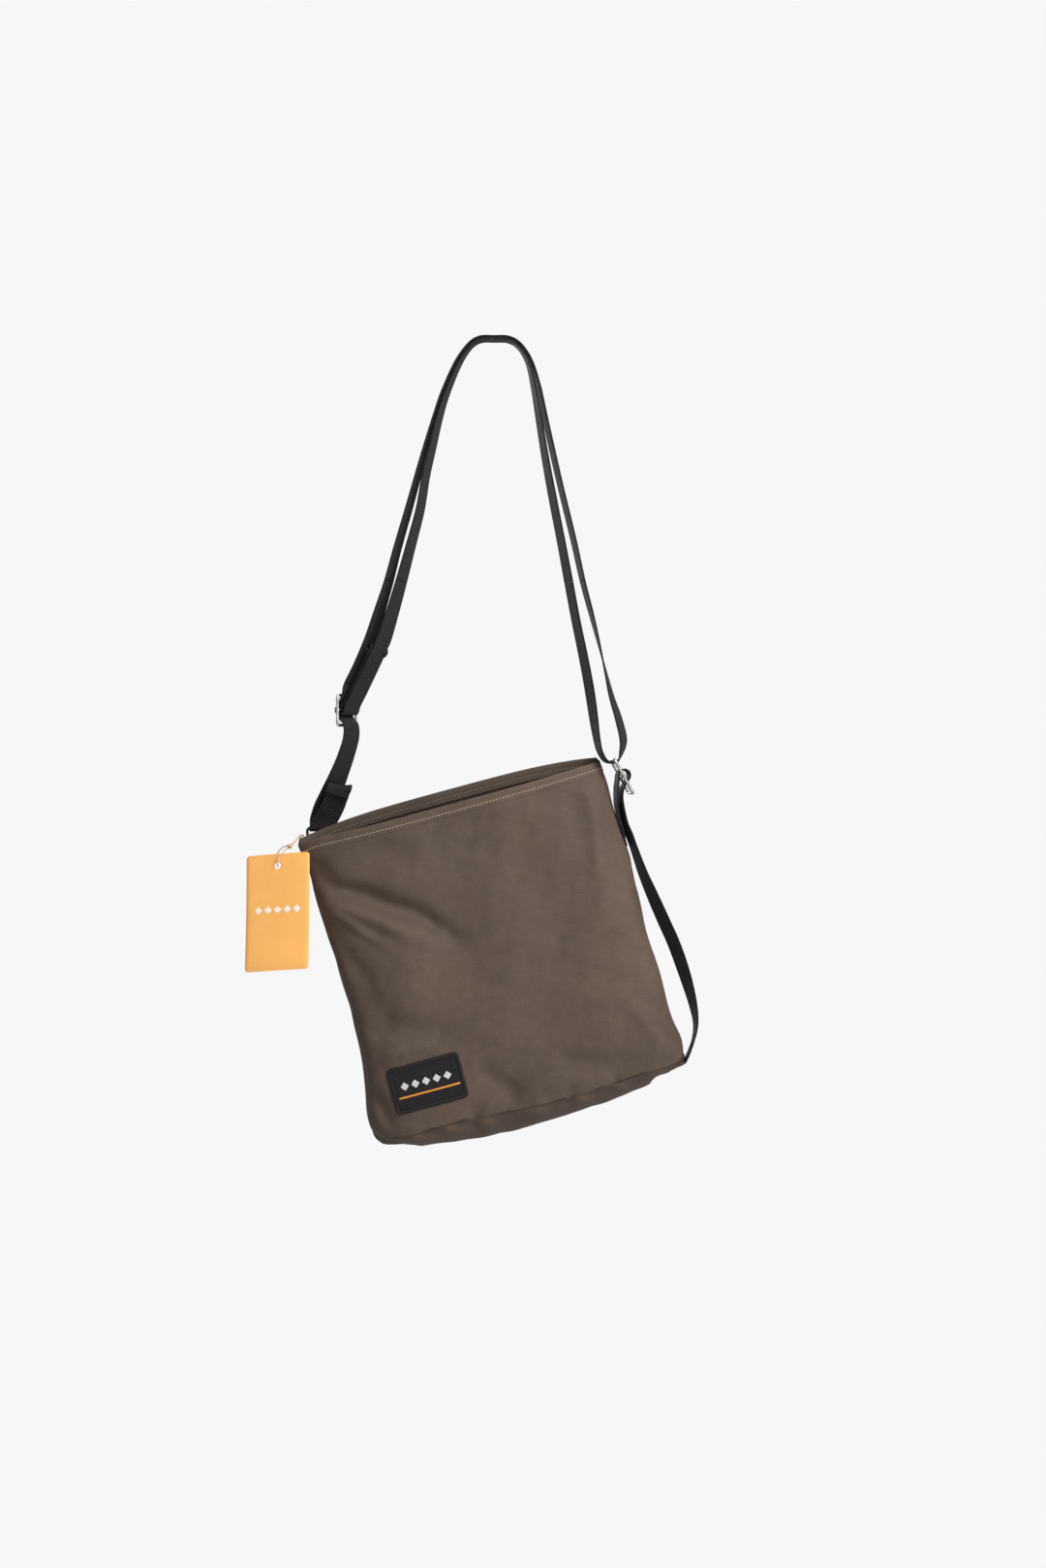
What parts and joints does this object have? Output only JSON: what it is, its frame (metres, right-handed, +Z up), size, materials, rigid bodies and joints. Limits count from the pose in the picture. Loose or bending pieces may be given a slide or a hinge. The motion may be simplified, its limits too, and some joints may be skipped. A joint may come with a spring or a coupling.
{
  "type": "messenger bag",
  "caption": "Small open-topped canvas messenger bag hanging by an adjustable black webbing strap, with metal slides, a woven label and a card tag on twine.",
  "frame": {"origin": "underside of the strap's crown, where it lies over a peg or shoulder", "axes": "+Z up along the hanging bag, +Y back towards the wall, +X to the right seen from the front"},
  "size_m": [0.3761, 0.0727, 0.6805],
  "materials": {
    "canvas": "waxed cotton canvas, matt",
    "hem": "turned canvas hem, matt",
    "binding": "cotton seam tape, matt",
    "webbing": "woven black webbing, matt",
    "black_thread": "bonded black thread",
    "slide_metal": "bright plated steel wire",
    "ring_black": "black coated ring, glossy",
    "label_black": "tight woven satin, black",
    "label_edge": "raised black bound edge",
    "label_orange": "orange woven yarn",
    "label_white": "off-white woven yarn",
    "card": "uncoated printed card, light orange",
    "card_print": "off-white print",
    "twine": "natural jute twine"
  },
  "bodies": {
    "strap": {"strap_outer_run": "webbing", "strap_inner_run": "webbing", "strap_left_outer": "webbing", "strap_left_inner": "webbing", "strap_right_bight": "webbing", "strap_lower": "webbing", "strap_anchor_loop": "webbing", "strap_anchor_stitching": "black_thread"},
    "adjuster": {"adjuster_slide": "slide_metal", "strap_weave": "webbing", "strap_end": "webbing", "strap_end_stitching": "black_thread"},
    "bag": {"front_panel": "canvas", "back_panel": "canvas", "left_gusset": "canvas", "right_gusset": "canvas", "base_panel": "canvas", "front_hem": "hem", "back_hem": "hem", "left_hem": "hem", "right_hem": "hem", "left_seam_binding": "binding", "right_seam_binding": "binding", "label_ground": "label_black", "label_border": "label_edge", "label_line": "label_orange", "label_motif": "label_white", "left_tab": "webbing", "left_tab_stitching": "black_thread", "right_side_strap": "webbing", "right_tab_stitching": "black_thread", "tag_twine_loop": "twine"},
    "left_ring": {"left_ring": "ring_black"},
    "right_slide": {"right_slide": "slide_metal"},
    "tag": {"tag_card": "card", "tag_motif": "card_print", "tag_twine_drop": "twine"}
  },
  "joints": [
    {"name": "bag_swing", "type": "hinge", "parent": "strap", "child": "bag", "pos_m": [-0.141, 0.012, -0.405], "axis": [0.9724, -0.0305, 0.2314], "range_deg": [-70, 70], "deforming": ["strap_right_bight", "strap_anchor_loop", "strap_anchor_stitching"]},
    {"name": "adjuster_travel", "type": "slide", "parent": "strap", "child": "adjuster", "axis": [0.3319, -0.07, 0.9407], "range_m": [-0.008, 0.03], "deforming": ["strap_left_outer", "strap_left_inner", "strap_lower"]},
    {"name": "left_ring_pivot", "type": "hinge", "parent": "bag", "child": "left_ring", "pos_m": [-0.141, 0.02155, -0.4125], "axis": [1, 0, 0], "range_deg": [-40, 0]},
    {"name": "right_slide_pivot", "type": "hinge", "parent": "bag", "child": "right_slide", "pos_m": [0.1062, 0.004, -0.3616], "axis": [0, 1, 0], "range_deg": [-18, 8]},
    {"name": "tag_swing", "type": "hinge", "parent": "bag", "child": "tag", "pos_m": [-0.1688, -0.0084, -0.4194], "axis": [1, 0, 0], "range_deg": [-70, 0]}
  ]
}
